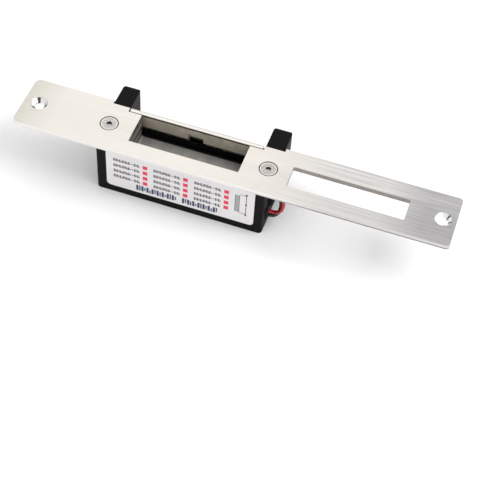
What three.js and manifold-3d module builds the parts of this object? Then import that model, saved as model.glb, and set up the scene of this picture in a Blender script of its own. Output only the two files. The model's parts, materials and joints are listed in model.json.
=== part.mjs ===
// Electric door strike with a long faceplate. Millimetres, +Z out of the faceplate, +X along the plate
// towards its long end, +Y towards the keeper. The origin is on the body's foot, under the strike opening.
import * as THREE from 'three';
import { mergeVertices } from 'three/addons/utils/BufferGeometryUtils.js';
import Module from 'manifold-3d';

const wasm = await Module();
wasm.setup();

// ---- Driving dimensions ----
const FAR = 200; // longer than anything that is cut
const GAP = 0.3; // clearance where one piece is cut for another
const HOLE_SIDES = 48; // of the faceplate's holes and the heads in them

const plate = { left: -98.4, right: 153, half: 17.5, top: 39, thick: 3, leftCorner: 3.5, rightCorner: 2 };
plate.under = plate.top - plate.thick;
const opening = { half: 32.2, near: -8.4, far: 12.9 };
const recess = { half: 40.3, near: 12.4, far: 15.3 }; // the keeper's lip lies in it
const hornNotch = { left: -50.6, right: 51.9, near: 15.2 };
const slot = { left: 59.6, right: 125.9, near: -8.4, far: 6.4, corner: 0.8 }; // deadbolt slot
const fixing = { xs: [-89.5, 145.7], radius: 2.75, headRadius: 4.8 };
const bodyScrew = { x: 46.9, head: 4.95, shank: 2.4, socket: 1.73, top: 38.85, coneEnd: 36.4, tip: 24.5 };
bodyScrew.rim = bodyScrew.top - 0.4; // where the head's cone meets its straight edge
bodyScrew.seat = bodyScrew.head + 0.4;

const body = { half: 49.7, front: -14.6, back: 15.2, wall: 2, corner: 2 };
const bay = { top: 20, half: body.half - body.wall, front: body.front + body.wall };
bay.back = body.back - body.wall;
const pocket = { half: 33.6, near: -9.8, far: 12.4, floor: 21.6 };
const liner = { thick: 1.2, floor: 23, far: 12.3, floorFar: 13.2, top: plate.under - 0.1 };
const fence = { near: 13.5, far: 14.7, bottom: 20.3, ledge: 21.5, top: 26 }; // under the keeper
const boss = { radius: 5.4, bottom: 13.1 }; // takes a body screw and shows outside each end wall
const horn = { left: [-50.2, -40], right: [40.6, 51.5], tip: 32, corner: 2.8 };

const hinge = { y: 19, z: 20.5, rod: 1.9, bore: 2.25, barrel: 3.4, left: -48.8, right: 50.2 };
const keeper = { half: 39.5, face: 12.9, lip: 2.3, skirt: 29.5, web: 16.6 };
const notch = { half: 4.6, back: 15.9, top: 34.2 }; // in the middle of the keeper's wall
const keeperGap = { from: 15, to: 27 }; // where the barrel stops and a spring coils round the rod
const tail = { half: 2.6, near: -2, far: 1.5, reach: 11 };

const lever = { x: 0, y: 4.5, bottom: 9.1, top: 12.1, hub: 3.2, nose: 12.2, noseHalf: 2.3, armHalf: 2.5 };
const leverTurn = THREE.MathUtils.degToRad(40); // from unlocked, as modelled, to locked
const link = { reach: 7.5, pin: 1.0 }; // the lever's slot, and the pin that drives it
const pivotPin = { radius: 1.5, bottom: 7.6, top: 19.4, clip: 8.2, clipThick: 0.6 };

const solenoid = { z: 10.6, left: 13.5, right: 41.5, metal: 1.5, half: 8, bottom: 3 };
solenoid.y = lever.y - link.reach;
const coil = { bore: 3.9, tube: 4.6, flange: 7.2, winding: 6.9, flangeThick: 1.2 };
const plunger = { radius: 3.5, pinX: -link.reach * Math.tan(leverTurn / 2), poleFace: 33.5, airGap: 0.3 };
plunger.travel = 2 * link.reach * Math.tan(leverTurn / 2);
plunger.tip = plunger.poleFace - plunger.airGap - plunger.travel;
const retainer = { left: 3.6, thick: 0.8, radius: 5 };
const solenoidScrews = [20, 30];
const board = { left: 43, thick: 1.2, near: -7.4, far: 7.8, bottom: 3.5, top: 17.5 };
const diode = { y: 6.6, z: 12, radius: 1.35, left: 33.8, right: 39, wire: 0.35, back: 15.2 };

const coverThick = 1.5;
const coverScrew = { x: 45.2, ys: [-10.1, 10.7], head: 2.3, shank: 1.15, tip: 8, post: 2.4 };
const label = { left: -43.3, right: 44.7, bottom: 5.2, top: 34.8, thick: 0.2, corner: 2.6 };

const wire = { radius: 1.1, y: -5, red: 10.2, black: 6.5, start: board.left + board.thick + GAP };
const grommet = { sleeve: 2.3, flange: 2.6, flangeThick: 0.8, bore: 1.4 };
const hank = { x: 22, y: 27.4, half: 8.9, run: 11, blackZ: 1.9, redZ: 4.4 };

// ---- Solids ----
function solid(geometry) {
  const bare = geometry.clone();
  bare.deleteAttribute('normal');
  bare.deleteAttribute('uv');
  const merged = mergeVertices(bare, 1e-4);
  const all = Array.from(merged.index.array);
  const kept = [];
  for (let i = 0; i < all.length; i += 3) {
    const [a, b, c] = all.slice(i, i + 3);
    if (a !== b && b !== c && c !== a) kept.push(a, b, c);
  }
  return new wasm.Manifold(new wasm.Mesh({
    numProp: 3,
    vertProperties: new Float32Array(merged.attributes.position.array),
    triVerts: new Uint32Array(kept),
  }));
}

const join = (first, ...rest) => rest.reduce((whole, piece) => whole.add(piece), first);
const cut = (first, ...rest) => rest.reduce((whole, piece) => whole.subtract(piece), first);

function box(x0, x1, y0, y1, z0, z1) {
  const block = new THREE.BoxGeometry(x1 - x0, y1 - y0, z1 - z0);
  return solid(block.translate((x0 + x1) / 2, (y0 + y1) / 2, (z0 + z1) / 2));
}

// A round bar along an axis; (a, b) is its centre on the other two axes, in X, Y, Z order.
function rod(axis, radius, from, to, a, b, sides = 24, endRadius = radius) {
  const bar = new THREE.CylinderGeometry(endRadius, radius, to - from, sides);
  const middle = (from + to) / 2;
  if (axis === 'x') bar.rotateZ(-Math.PI / 2).translate(middle, a, b);
  if (axis === 'y') bar.translate(a, middle, b);
  if (axis === 'z') bar.rotateX(Math.PI / 2).translate(a, b, middle);
  return solid(bar);
}

function outline(points) {
  return new THREE.Shape(points.map(([a, b]) => new THREE.Vector2(a, b)));
}

function roundedOutline(x0, x1, y0, y1, leftRadius, rightRadius = leftRadius) {
  const shape = new THREE.Shape();
  const quarter = Math.PI / 2;
  shape.absarc(x1 - rightRadius, y0 + rightRadius, rightRadius, -quarter, 0);
  shape.absarc(x1 - rightRadius, y1 - rightRadius, rightRadius, 0, quarter);
  shape.absarc(x0 + leftRadius, y1 - leftRadius, leftRadius, quarter, 2 * quarter);
  shape.absarc(x0 + leftRadius, y0 + leftRadius, leftRadius, 2 * quarter, 3 * quarter);
  return shape;
}

function prismZ(shape, z0, z1, curveSegments = 4) {
  const prism = new THREE.ExtrudeGeometry(shape, { depth: z1 - z0, bevelEnabled: false, curveSegments });
  return solid(prism.translate(0, 0, z0));
}

// The outline's points are (y, z) here.
function prismX(shape, x0, x1, curveSegments = 4) {
  const prism = new THREE.ExtrudeGeometry(shape, { depth: x1 - x0, bevelEnabled: false, curveSegments });
  const [alongX, alongY, alongZ] = [[1, 0, 0], [0, 1, 0], [0, 0, 1]].map((v) => new THREE.Vector3(...v));
  prism.applyMatrix4(new THREE.Matrix4().makeBasis(alongY, alongZ, alongX));
  return solid(prism.translate(x0, 0, 0));
}

function tube(points, radius, steps, sides = 8) {
  const path = new THREE.CatmullRomCurve3(points.map((p) => new THREE.Vector3(...p)));
  const section = new THREE.Shape();
  for (let i = 0; i < sides; i++) {
    const turn = (i / sides) * 2 * Math.PI;
    const place = [radius * Math.cos(turn), radius * Math.sin(turn)];
    if (i === 0) section.moveTo(...place);
    else section.lineTo(...place);
  }
  return solid(new THREE.ExtrudeGeometry(section, { steps, extrudePath: path, bevelEnabled: false }));
}

function mirroredX(shape) {
  return shape.mirror([1, 0, 0]);
}

// ---- Materials ----
function finish(colour, roughness, metalness) {
  return new THREE.MeshStandardMaterial({ color: colour, roughness, metalness });
}
const stainless = () => finish(0xd9d6cd, 0.35, 0.9);
const steel = () => finish(0xa9a8a2, 0.4, 0.85);
const blackCasting = () => finish(0x1b1b1d, 0.45, 0.1);
const blackRubber = () => finish(0x121213, 0.8, 0);

const strike = new THREE.Group();
function add(name, shape, material) {
  const { vertProperties, triVerts } = shape.getMesh();
  const geometry = new THREE.BufferGeometry();
  geometry.setAttribute('position', new THREE.BufferAttribute(new Float32Array(vertProperties), 3));
  geometry.setIndex(new THREE.BufferAttribute(new Uint32Array(triVerts), 1));
  geometry.computeVertexNormals();
  const mesh = new THREE.Mesh(geometry, material);
  mesh.name = name;
  strike.add(mesh);
}

// ---- Housing ----
function faceplate() {
  const { left, right, half, top, under } = plate;
  const sheet = roundedOutline(left, right, -half, half, plate.leftCorner, plate.rightCorner);
  let shape = prismZ(sheet, under, top);
  const slotOutline = roundedOutline(slot.left, slot.right, slot.near, slot.far, slot.corner);
  shape = cut(
    shape,
    box(-opening.half, opening.half, opening.near, recess.far, 0, FAR),
    box(-recess.half, recess.half, recess.near, recess.far, 0, FAR),
    box(hornNotch.left, hornNotch.right, hornNotch.near, FAR, 0, FAR),
    prismZ(slotOutline, 0, FAR),
  );
  for (const x of fixing.xs) {
    const coneDepth = fixing.headRadius - fixing.radius;
    shape = cut(
      shape,
      rod('z', fixing.radius, 0, FAR, x, 0, HOLE_SIDES),
      rod('z', fixing.radius, top - coneDepth, top, x, 0, HOLE_SIDES, fixing.headRadius),
    );
  }
  for (const x of [-bodyScrew.x, bodyScrew.x]) {
    const holeRadius = bodyScrew.shank + GAP;
    shape = cut(
      shape,
      rod('z', holeRadius, 0, FAR, x, 0, HOLE_SIDES),
      rod('z', holeRadius, bodyScrew.coneEnd, bodyScrew.rim, x, 0, HOLE_SIDES, bodyScrew.seat),
      rod('z', bodyScrew.seat, bodyScrew.rim, FAR, x, 0, HOLE_SIDES),
    );
  }
  return shape;
}

// One horn in (y, z): flush with the plate at the top, leaning out to a buttress below.
function hornOutline() {
  const root = body.back - 5;
  return outline([
    [root, 4], [body.back, 4], [30.6, 13], [horn.tip, 19], [horn.tip, 37], [31.2, 38.2], [29.4, 38.7],
    [hornNotch.near + 0.2, plate.top], [hornNotch.near + 0.2, plate.under], [root, plate.under],
  ]);
}

function bodyCasting() {
  const { half, front, back, corner } = body;
  let shape = prismZ(roundedOutline(-half, half, front, back, corner), 0, plate.under);
  for (const side of [-1, 1]) {
    shape = join(shape, rod('z', boss.radius, boss.bottom, plate.under, side * bodyScrew.x, 0, 40));
    const [from, to] = side < 0 ? horn.left : horn.right;
    const plan = prismZ(roundedOutline(from, to, 0, horn.tip, horn.corner), 0, plate.top);
    shape = join(shape, prismX(hornOutline(), from, to).intersect(plan));
  }
  // The strike pocket, the room for the keeper, and the mechanism bay, which is open at the foot.
  const [roomLeft, roomRight] = [horn.left[1], horn.right[0]];
  shape = cut(
    shape,
    box(-pocket.half, pocket.half, pocket.near, pocket.far + 1, pocket.floor, FAR),
    box(roomLeft, roomRight, pocket.far, FAR, hinge.z - 4.7, FAR),
    box(-bay.half, bay.half, bay.front, bay.back, -1, bay.top),
    box(-4, 11, bay.back - 1, FAR, 6, bay.top), // window for the keeper's tail and the lever's nose
    rod('x', hinge.rod + 0.2, hinge.left - 0.2, FAR, hinge.y, hinge.z, 24),
  );
  shape = join(
    shape,
    box(roomLeft - 1, roomRight + 1, fence.near, fence.far, fence.bottom, fence.top),
    box(roomLeft - 1, roomRight + 1, pocket.far - 1, fence.far, fence.bottom, fence.ledge),
  );
  shape = cut(shape, box(-4, 4, pocket.far, FAR, bay.top - 1, fence.bottom + 0.6)); // for the keeper's tail
  for (const x of [-bodyScrew.x, bodyScrew.x]) {
    shape = cut(shape, rod('z', bodyScrew.shank + 0.2, bodyScrew.tip - 0.5, FAR, x, 0));
  }
  // Posts for the base cover's screws and the boss that holds the lever's pin.
  for (const x of [-coverScrew.x, coverScrew.x]) {
    for (const y of coverScrew.ys) {
      shape = join(shape, rod('z', coverScrew.post, coverThick + 0.1, bay.top + 0.5, x, y, 16));
      shape = cut(shape, rod('z', coverScrew.shank + 0.15, 0, coverScrew.tip + 1, x, y, 12));
    }
  }
  shape = join(shape, rod('z', 3, lever.top + GAP, bay.top + 0.5, lever.x, lever.y, 24));
  shape = cut(shape, rod('z', pivotPin.radius + 0.15, 0, pivotPin.top + 0.2, lever.x, lever.y, 24));
  for (const x of solenoidScrews) {
    shape = cut(
      shape,
      rod('z', 1.7, bay.top - 1, pocket.floor, x, solenoid.y, 20),
      rod('z', 1.7, pocket.floor - 1.4, pocket.floor, x, solenoid.y, 20, 3.2),
    );
  }
  return cut(shape, leadSlot(grommet.sleeve + GAP, bay.half - 1, FAR));
}

// A slot with round ends round both leads, through the right end wall.
function leadSlot(radius, x0, x1) {
  const { y, black, red } = wire;
  const ends = roundedOutline(y - radius, y + radius, black - radius, red + radius, radius - 0.01);
  return prismX(ends, x0, x1);
}

function pocketLiner() {
  const half = opening.half + liner.thick;
  const near = opening.near - liner.thick;
  const under = liner.floor - liner.thick;
  const block = box(-half, half, near, liner.far, under, liner.top);
  const floorEnd = box(-half, half, liner.far - 0.1, liner.floorFar, under, liner.floor);
  return cut(join(block, floorEnd), box(-opening.half, opening.half, opening.near, FAR, liner.floor, FAR));
}

function baseCover() {
  let shape = prismZ(
    roundedOutline(-bay.half + 0.4, bay.half - 0.4, bay.front + 0.4, bay.back - 0.4, 1), 0, coverThick,
  );
  for (const x of [-coverScrew.x, coverScrew.x]) {
    for (const y of coverScrew.ys) {
      shape = cut(shape, rod('z', coverScrew.head + GAP, -0.01, coverThick + 0.01, x, y, 16, 1.6));
    }
  }
  return shape;
}

function coverScrewAt(x, y) {
  const head = rod('z', coverScrew.head, 0.1, coverThick, x, y, 16, coverScrew.shank);
  const shank = rod('z', coverScrew.shank, coverThick - 0.1, coverScrew.tip, x, y, 12);
  const cross = join(
    box(x - 1.3, x + 1.3, y - 0.3, y + 0.3, 0, 0.8),
    box(x - 0.3, x + 0.3, y - 1.3, y + 1.3, 0, 0.8),
  );
  return cut(join(head, shank), cross);
}

function bodyScrewAt(x) {
  const { head, shank, socket, top, rim, coneEnd, tip } = bodyScrew;
  const shape = join(
    rod('z', head, rim, top, x, 0, HOLE_SIDES),
    rod('z', shank, coneEnd, rim, x, 0, HOLE_SIDES, head),
    rod('z', shank, tip, coneEnd + 0.1, x, 0, 24),
  );
  return cut(shape, rod('z', socket, top - 2, FAR, x, 0, 6));
}

function ratingLabel() {
  const { left, right, bottom, top, thick, corner } = label;
  const sheet = new THREE.ExtrudeGeometry(
    roundedOutline(left, right, bottom, top, corner), { depth: thick, bevelEnabled: false, curveSegments: 4 },
  );
  return solid(sheet.rotateX(Math.PI / 2).translate(0, body.front, 0));
}

function leadGrommet() {
  const bores = [wire.black, wire.red].map((z) => rod('x', grommet.bore, 0, FAR, wire.y, z, 16));
  const outside = body.half + 0.05;
  const inside = bay.half - 0.05;
  return cut(
    join(
      leadSlot(grommet.sleeve, inside - 0.1, outside + 0.1),
      leadSlot(grommet.flange, outside, outside + grommet.flangeThick),
      leadSlot(grommet.flange, inside - grommet.flangeThick, inside),
    ),
    ...bores,
  );
}

// ---- Keeper ----
function keeperBar() {
  const { half, face, lip, skirt, web } = keeper;
  const back = face + lip;
  const profile = outline([
    [face, plate.top], [face, 38.5], [face + 0.5, 38.4], [face + 0.5, 37.9], [face, 37.8],
    [face, skirt], [web, skirt - 0.2], [web, 22], [21, 22],
    [21, 24.5], [19.8, 30], [17.4, 34.8], [back, 37.2], [back, plate.top],
  ]);
  let shape = prismX(profile, -half, half);
  const barrels = [[-half, -keeperGap.to], [-keeperGap.from, keeperGap.from], [keeperGap.to, half]];
  for (const side of [-1, 1]) {
    const [from, to] = [keeperGap.from, keeperGap.to].map((x) => side * x).sort((a, b) => a - b);
    shape = cut(shape, rod('x', hinge.barrel + 0.6, from, to, hinge.y, hinge.z, 24));
  }
  for (const [from, to] of barrels) {
    shape = join(shape, rod('x', hinge.barrel, from, to, hinge.y, hinge.z, 24));
  }
  const foot = hinge.z - tail.reach;
  shape = join(
    shape,
    box(-tail.half, tail.half, hinge.y + tail.near, hinge.y + tail.far, foot, hinge.z),
  );
  return cut(
    shape,
    rod('x', hinge.bore, -FAR, FAR, hinge.y, hinge.z, 24),
    box(-notch.half, notch.half, 0, notch.back, hinge.z + 5, notch.top),
  );
}

function hingeRod() {
  return rod('x', hinge.rod, hinge.left, hinge.right, hinge.y, hinge.z, 24);
}

// A torsion spring: one leg up the keeper's back, the other under the pocket's floor web.
function keeperSpring() {
  const spring = { wire: 0.4, radius: 2.9, turns: 6.25, from: 16.4, to: 25.6, perTurn: 9 };
  const points = [[spring.from, 21.5, 29], [spring.from, 21.8, 24.5]];
  const count = Math.round(spring.turns * spring.perTurn);
  for (let i = 0; i <= count; i++) {
    const turn = -(i / spring.perTurn) * 2 * Math.PI;
    const x = THREE.MathUtils.lerp(spring.from, spring.to, i / count);
    points.push([x, hinge.y + spring.radius * Math.cos(turn), hinge.z + spring.radius * Math.sin(turn)]);
  }
  points.push([spring.to, 14.5, 18.2], [spring.to, 10.6, 19.3]);
  return tube(points, spring.wire, count + 16, 5);
}

// ---- Lock work ----
function lockingLever() {
  const { x, y, bottom, top, hub, nose, noseHalf, armHalf } = lever;
  const armEnd = link.reach + 3.3;
  const slotHalf = link.pin + 0.2;
  const arm = join(
    box(-armHalf, armHalf, -armEnd + armHalf, 0, bottom, top),
    rod('z', armHalf, bottom, top, 0, -armEnd + armHalf, 24),
  );
  const slotCut = join(
    box(-slotHalf, slotHalf, -link.reach - 0.7, -link.reach + 0.2, 0, FAR),
    rod('z', slotHalf, 0, FAR, 0, -link.reach - 0.7, 24),
    rod('z', slotHalf, 0, FAR, 0, -link.reach + 0.2, 24),
  );
  const noseEnd = rod('z', nose, 0, FAR, 0, 0, 48);
  const noseBar = box(-noseHalf, noseHalf, 0, nose, bottom, top).intersect(noseEnd);
  const degrees = THREE.MathUtils.radToDeg(leverTurn);
  const shape = cut(
    join(rod('z', hub, bottom, top, 0, 0, 32), noseBar, arm.subtract(slotCut).rotate([0, 0, degrees / 2])),
    rod('z', pivotPin.radius + 0.2, 0, FAR, 0, 0, 24),
  );
  return shape.rotate([0, 0, -degrees]).translate([x, y, 0]);
}

function leverPivotPin() {
  const { radius, bottom, top, clip, clipThick } = pivotPin;
  const pin = rod('z', radius, bottom, top, lever.x, lever.y, 24);
  const ring = cut(
    rod('z', 3, clip - 0.1, clip + clipThick + 0.1, lever.x, lever.y, 24),
    rod('z', 1.05, 0, FAR, lever.x, lever.y, 24),
  );
  return cut(pin, ring);
}

function leverPinClip() {
  const { clip, clipThick } = pivotPin;
  return cut(
    rod('z', 2.9, clip, clip + clipThick, lever.x, lever.y, 24),
    rod('z', 1.25, 0, FAR, lever.x, lever.y, 24),
    box(lever.x - 0.9, lever.x + 0.9, lever.y, FAR, 0, FAR),
  );
}

function solenoidFrame() {
  const { y, z, left, right, metal, half, bottom } = solenoid;
  const top = bay.top - 0.2;
  let shape = join(
    box(left, left + metal, y - half, y + half, bottom, top),
    box(right - metal, right, y - half, y + half, bottom, top),
    box(left, right, y - half, y + half, top - metal, top),
  );
  shape = cut(shape, rod('x', coil.bore, 0, left + metal + 1, y, z), rod('x', 2.6, 30, FAR, y, z));
  for (const x of solenoidScrews) shape = cut(shape, rod('z', 1.35, 15, FAR, x, y, 20));
  return shape;
}

function solenoidScrewAt(x) {
  return join(
    rod('z', 1.2, pocket.floor - 1.5, pocket.floor - 0.2, x, solenoid.y, 20, 2.7),
    rod('z', 1.2, bay.top - 1.6, pocket.floor - 1.4, x, solenoid.y, 20),
  );
}

function coilBobbin() {
  const { y, z, left, right, metal } = solenoid;
  const [from, to] = [left + metal + 0.2, right - metal - 0.2];
  return cut(
    join(
      rod('x', coil.tube, from, to, y, z),
      rod('x', coil.flange, from, from + coil.flangeThick, y, z, 32),
      rod('x', coil.flange, to - coil.flangeThick, to, y, z, 32),
    ),
    rod('x', coil.bore, 0, FAR, y, z),
  );
}

function coilWinding() {
  const { y, z, left, right, metal } = solenoid;
  const inset = metal + coil.flangeThick + 0.4;
  return cut(
    rod('x', coil.winding, left + inset, right - inset, y, z, 32),
    rod('x', coil.tube + 0.15, 0, FAR, y, z),
  );
}

function polePiece() {
  const { y, z, right, metal } = solenoid;
  return join(
    rod('x', 3.4, plunger.poleFace, right - metal - 0.1, y, z),
    rod('x', 2.4, plunger.poleFace, right + 0.2, y, z),
    rod('x', 3.4, right + 0.1, right + 1, y, z),
  );
}

function plungerRod() {
  const { y, z } = solenoid;
  const groove = cut(
    rod('x', FAR, retainer.left - 0.1, retainer.left + retainer.thick + 0.1, y, z, 12),
    rod('x', 3, 0, FAR, y, z),
  );
  return cut(
    rod('x', plunger.radius, plunger.pinX - 3.2, plunger.tip, y, z),
    groove,
    box(-FAR, plunger.pinX + 4.6, -FAR, FAR, lever.bottom - GAP, lever.top + GAP), // fork for the lever
    rod('z', link.pin + 0.15, 0, FAR, plunger.pinX, y, 20),
  );
}

function springRetainer() {
  const { left, thick, radius } = retainer;
  return cut(
    rod('x', radius, left, left + thick, solenoid.y, solenoid.z),
    rod('x', 3.2, 0, FAR, solenoid.y, solenoid.z),
    box(-FAR, FAR, solenoid.y - 2, solenoid.y + 2, solenoid.z, FAR),
  );
}

function linkPin() {
  return rod('z', link.pin, solenoid.z - 3.3, solenoid.z + 3.3, plunger.pinX, solenoid.y, 20);
}

function returnSpring() {
  const spring = { wire: 0.25, radius: 4.25, turns: 4.5, perTurn: 9 };
  const from = retainer.left + retainer.thick + spring.wire + 0.1;
  const to = solenoid.left - spring.wire - 0.1;
  const count = Math.round(spring.turns * spring.perTurn);
  const points = [];
  for (let i = 0; i <= count; i++) {
    const turn = (i / spring.perTurn) * 2 * Math.PI;
    const x = THREE.MathUtils.lerp(from, to, i / count);
    const [away, up] = [spring.radius * Math.cos(turn), spring.radius * Math.sin(turn)];
    points.push([x, solenoid.y + away, solenoid.z + up]);
  }
  return tube(points, spring.wire, count + 2, 5);
}

function terminalBoard() {
  const { left, thick, near, far, bottom, top } = board;
  const standOff = (y) => rod('x', 1.2, solenoid.right + 0.1, left + 0.1, y, 15.2, 16);
  return join(box(left, left + thick, near, far, bottom, top), standOff(-6), standOff(2.6));
}

function suppressionDiode() {
  const { y, z, radius, left, right, wire: thin, back } = diode;
  const end = board.left - 0.1;
  return join(
    rod('x', radius, left, right, y, z, 20),
    tube([[right - 0.5, y, z], [(right + end) / 2, y, z], [end, y, z]], thin, 4, 6),
    tube([[left + 0.5, y, z], [left - 1.4, y, z], [left - 2, y, z + 0.8], [left - 2, y, back - 0.8],
      [left - 1.2, y, back], [left + 1, y, back], [end, y, back]], thin, 24, 6),
  );
}

// ---- Leads: out of the end wall, round a loop, up under the plate and down behind the body ----
function leadTube(points, end) {
  return tube([...points, end], wire.radius, 44, 8);
}

const redRoute = [
  [wire.start, wire.y, wire.red], [48, wire.y, wire.red], [51, wire.y, 10.4], [54.4, -5.2, 10.6],
  [57.4, -5.5, 13.1], [58.6, -5.5, 17], [58.5, -4.9, 21.3], [57.2, -3.2, 25.8], [55.6, -0.2, 29.4],
  [54.6, 4.2, 30.9], [53.9, 8.9, 28.5], [53.6, 12.2, 22.6], [53.5, 13.8, 16], [53.5, 15.9, 8.6],
  [53, 18.4, 4.5], [49.4, 20.9, 2.4], [46, 21.7, 2.2], [42.6, 21.4, 3.2],
];
const blackRoute = [
  [wire.start, wire.y, wire.black], [48, wire.y, wire.black], [51, wire.y, 6.7], [54, -4.6, 7.2],
  [56.2, -3.6, 9.6], [56.9, -2.4, 13.4], [56.3, -1.2, 17.6], [55.4, 0, 22], [54.6, 2, 25.4],
  [54, 5, 26.6], [53.6, 8.2, 24.8], [53.5, 10.2, 20.4], [53.5, 10.9, 15.6], [53.5, 13.1, 8.2],
  [52.9, 15.7, 3.9], [49.2, 18, 1.5], [45.5, 19.1, 1.2], [42.4, 19.5, 1.4],
];
const hankMouth = { x: hank.x + hank.run + 6.2, y: hank.y - hank.half + wire.radius };

function hankSolid(z) {
  const reach = hank.run + hank.half;
  const ends = roundedOutline(
    hank.x - reach, hank.x + reach, hank.y - hank.half, hank.y + hank.half, hank.half - 0.01,
  );
  return prismZ(ends, z - wire.radius, z + wire.radius, 8);
}

function leadTie() {
  const band = { half: 1.25, thick: 0.5, side: hank.half + 0.3, top: hank.redZ + wire.radius + GAP };
  return cut(
    box(hank.x - band.half, hank.x + band.half, hank.y - band.side - band.thick,
      hank.y + band.side + band.thick, 0, band.top + band.thick),
    box(-FAR, FAR, hank.y - band.side, hank.y + band.side, band.thick, band.top),
  );
}

// ---- Assembly ----
add('faceplate', faceplate(), stainless());
add('body_casting', bodyCasting(), blackCasting());
add('pocket_liner', pocketLiner(), steel());
add('base_cover', baseCover(), blackCasting());
add('rating_label', ratingLabel(), finish(0xf2f1f3, 0.5, 0));
add('body_screw_left', bodyScrewAt(-bodyScrew.x), steel());
add('body_screw_right', bodyScrewAt(bodyScrew.x), steel());
for (const [name, side] of [['left', -1], ['right', 1]]) {
  for (const [place, y] of [['front', coverScrew.ys[0]], ['rear', coverScrew.ys[1]]]) {
    add(`cover_screw_${name}_${place}`, coverScrewAt(side * coverScrew.x, y), steel());
  }
}
add('lead_grommet', leadGrommet(), blackRubber());

add('keeper', keeperBar(), stainless());
add('keeper_hinge_rod', hingeRod(), steel());
add('keeper_spring_right', keeperSpring(), steel());
add('keeper_spring_left', mirroredX(keeperSpring()), steel());

add('locking_lever', lockingLever(), steel());
add('lever_pivot_pin', leverPivotPin(), steel());
add('lever_pin_clip', leverPinClip(), steel());
add('solenoid_frame', solenoidFrame(), finish(0xb9bcc0, 0.4, 0.8));
for (const [i, x] of solenoidScrews.entries()) add(`solenoid_screw_${i + 1}`, solenoidScrewAt(x), steel());
add('coil_bobbin', coilBobbin(), finish(0x2a2a2c, 0.55, 0));
add('coil_winding', coilWinding(), finish(0xa5642c, 0.45, 0.1));
add('pole_piece', polePiece(), steel());
add('plunger', plungerRod(), steel());
add('plunger_link_pin', linkPin(), steel());
add('spring_retainer', springRetainer(), steel());
add('return_spring', returnSpring(), steel());
add('terminal_board', terminalBoard(), finish(0x6b4226, 0.6, 0));
add('suppression_diode', suppressionDiode(), finish(0x151515, 0.5, 0));

add('lead_red', leadTube(redRoute, [hankMouth.x, hankMouth.y, hank.redZ]), finish(0xc1121c, 0.4, 0));
add('lead_black', leadTube(blackRoute, [hankMouth.x, hankMouth.y, hank.blackZ]), finish(0x131313, 0.4, 0));
add('lead_red_hank', hankSolid(hank.redZ), finish(0xc1121c, 0.4, 0));
add('lead_black_hank', hankSolid(hank.blackZ), finish(0x131313, 0.4, 0));
add('lead_tie', leadTie(), finish(0xf0f0f0, 0.5, 0));

export default strike;
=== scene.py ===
"""Electric door strike with a long faceplate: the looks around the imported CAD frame."""

import json
import math

import bmesh
import bpy
from mathutils import Matrix, Vector


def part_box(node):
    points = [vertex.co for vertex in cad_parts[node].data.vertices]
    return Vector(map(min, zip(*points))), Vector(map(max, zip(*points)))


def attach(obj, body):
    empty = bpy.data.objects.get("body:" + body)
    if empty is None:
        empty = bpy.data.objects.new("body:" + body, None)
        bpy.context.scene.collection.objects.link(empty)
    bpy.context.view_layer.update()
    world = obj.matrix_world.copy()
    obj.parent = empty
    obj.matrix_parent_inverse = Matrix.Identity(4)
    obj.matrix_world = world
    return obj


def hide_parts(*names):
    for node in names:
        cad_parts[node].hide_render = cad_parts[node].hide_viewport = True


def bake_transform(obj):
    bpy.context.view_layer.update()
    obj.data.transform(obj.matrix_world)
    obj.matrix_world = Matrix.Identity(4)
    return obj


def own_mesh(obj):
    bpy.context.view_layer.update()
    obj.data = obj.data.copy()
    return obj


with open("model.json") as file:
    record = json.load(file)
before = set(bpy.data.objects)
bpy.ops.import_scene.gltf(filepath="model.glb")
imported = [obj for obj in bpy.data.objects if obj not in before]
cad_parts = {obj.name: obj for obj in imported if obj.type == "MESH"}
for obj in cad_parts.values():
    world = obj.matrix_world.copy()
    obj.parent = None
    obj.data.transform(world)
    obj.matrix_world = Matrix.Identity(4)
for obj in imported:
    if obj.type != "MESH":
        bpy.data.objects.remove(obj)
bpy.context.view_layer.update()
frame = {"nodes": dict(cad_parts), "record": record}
MM = 0.001


def mm(*values):
    """A point given in millimetres, in metres."""
    return Vector(values) * MM


# ---- Camera ----
def look_from(place, azimuth, elevation, roll, lens):
    """A camera that looks down by elevation, is turned by azimuth from +Y and rolls about its own axis.

    The angles are in degrees, and lens is the focal length in millimetres.
    """
    turn, down, tilt = (math.radians(a) for a in (azimuth, elevation, roll))
    ahead = Vector((math.sin(turn) * math.cos(down), math.cos(turn) * math.cos(down), -math.sin(down)))
    level = ahead.cross(Vector((0, 0, 1))).normalized()
    right = level * math.cos(tilt) + ahead.cross(level) * math.sin(tilt)
    camera = bpy.data.objects.new("camera", bpy.data.cameras.new("camera"))
    bpy.context.scene.collection.objects.link(camera)
    camera.data.lens = lens
    camera.data.clip_start = 0.01
    facing = Matrix((right, right.cross(ahead), -ahead)).transposed()
    camera.matrix_world = Matrix.Translation(place) @ facing.to_4x4()
    bpy.context.scene.camera = camera


look_from(Vector((0.161, -0.463, 0.5785)), azimuth=-15.35, elevation=51.73, roll=-4.37, lens=98.4)


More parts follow.
